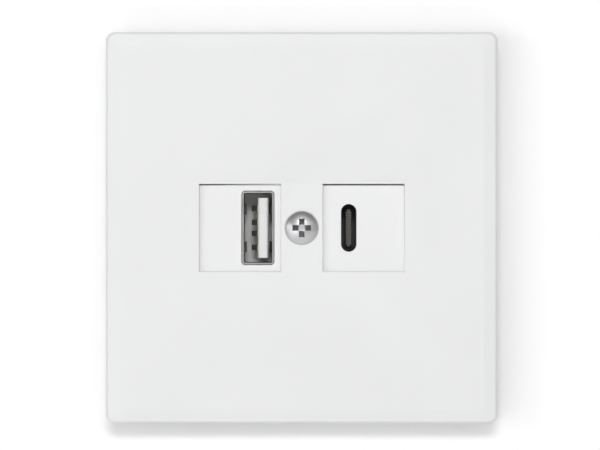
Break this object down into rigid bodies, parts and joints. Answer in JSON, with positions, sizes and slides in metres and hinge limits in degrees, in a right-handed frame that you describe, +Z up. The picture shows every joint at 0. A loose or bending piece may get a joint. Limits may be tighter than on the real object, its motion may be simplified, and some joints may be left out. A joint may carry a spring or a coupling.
{
  "type": "usb wall socket",
  "caption": "Square flush-mounted charging socket: bevelled cover plate with port windows and a centre screw, steel support ring, and a housing with sprung wire terminals.",
  "frame": {"origin": "centre of the circle of the box screws, on the wall face", "axes": "+Z up, +X to the right as seen from the room, +Y into the wall"},
  "size_m": [0.07, 0.0426, 0.07],
  "materials": {
    "plate_white": "gloss",
    "port_white": "satin",
    "screw_steel": "polished",
    "brass": "satin",
    "ring_steel": "zinc plated",
    "case_grey": "moulded",
    "fixing_steel": "zinc plated",
    "board_green": "solder mask",
    "barrier_sheet": "sheet",
    "header_black": "moulded",
    "pin_gold": "plated",
    "shell_nickel": "nickel plated",
    "tongue_white": "moulded",
    "contact_gold": "plated",
    "shell_black": "blackened",
    "tongue_black": "moulded",
    "ferrite": "sintered",
    "bobbin_black": "moulded",
    "coil_tape": "taped",
    "can_sleeve": "sleeved",
    "fuse_brown": "moulded",
    "disc_blue": "dipped",
    "film_box": "moulded",
    "chip_black": "moulded",
    "terminal_grey": "moulded",
    "rail_brass": "tinned",
    "spring_steel": "bright",
    "lever_orange": "moulded"
  },
  "bodies": {
    "root": {"cover_plate": "plate_white", "cover_screw": "screw_steel", "threaded_bush": "brass", "front_housing": "port_white", "rear_housing": "case_grey", "support_ring": "ring_steel", "housing_screws": "fixing_steel", "port_board": "board_green", "power_board": "board_green", "insulation_barrier": "barrier_sheet", "board_header": "header_black", "header_pins": "pin_gold", "usb_a_shell": "shell_nickel", "usb_a_contacts": "contact_gold", "usb_a_body": "tongue_white", "usb_c_shell": "shell_black", "usb_c_body": "tongue_black", "usb_c_contacts": "contact_gold", "transformer_core": "ferrite", "transformer_bobbin": "bobbin_black", "transformer_winding": "coil_tape", "input_capacitors": "can_sleeve", "output_capacitors": "can_sleeve", "mains_fuse": "fuse_brown", "varistor": "disc_blue", "bridge_rectifier": "chip_black", "safety_capacitor": "film_box", "filter_choke": "ferrite", "charge_controller": "chip_black", "power_switch": "chip_black", "terminal_block_line": "terminal_grey", "terminal_rail_line": "rail_brass", "clamp_spring_line": "spring_steel", "terminal_block_neutral": "terminal_grey", "terminal_rail_neutral": "rail_brass", "clamp_spring_neutral": "spring_steel"},
    "line_lever": {"release_lever_line": "lever_orange"},
    "neutral_lever": {"release_lever_neutral": "lever_orange"}
  },
  "joints": [
    {"name": "line_lever_press", "type": "slide", "parent": "root", "child": "line_lever", "axis": [0, -1, 0], "range_m": [0, 0.0018], "stiffness_N_per_m": 1500, "springref_m": -0.0005, "deforming": ["clamp_spring_line"]},
    {"name": "neutral_lever_press", "type": "slide", "parent": "root", "child": "neutral_lever", "axis": [0, -1, 0], "range_m": [0, 0.0018], "stiffness_N_per_m": 1500, "springref_m": -0.0005, "deforming": ["clamp_spring_neutral"]}
  ]
}
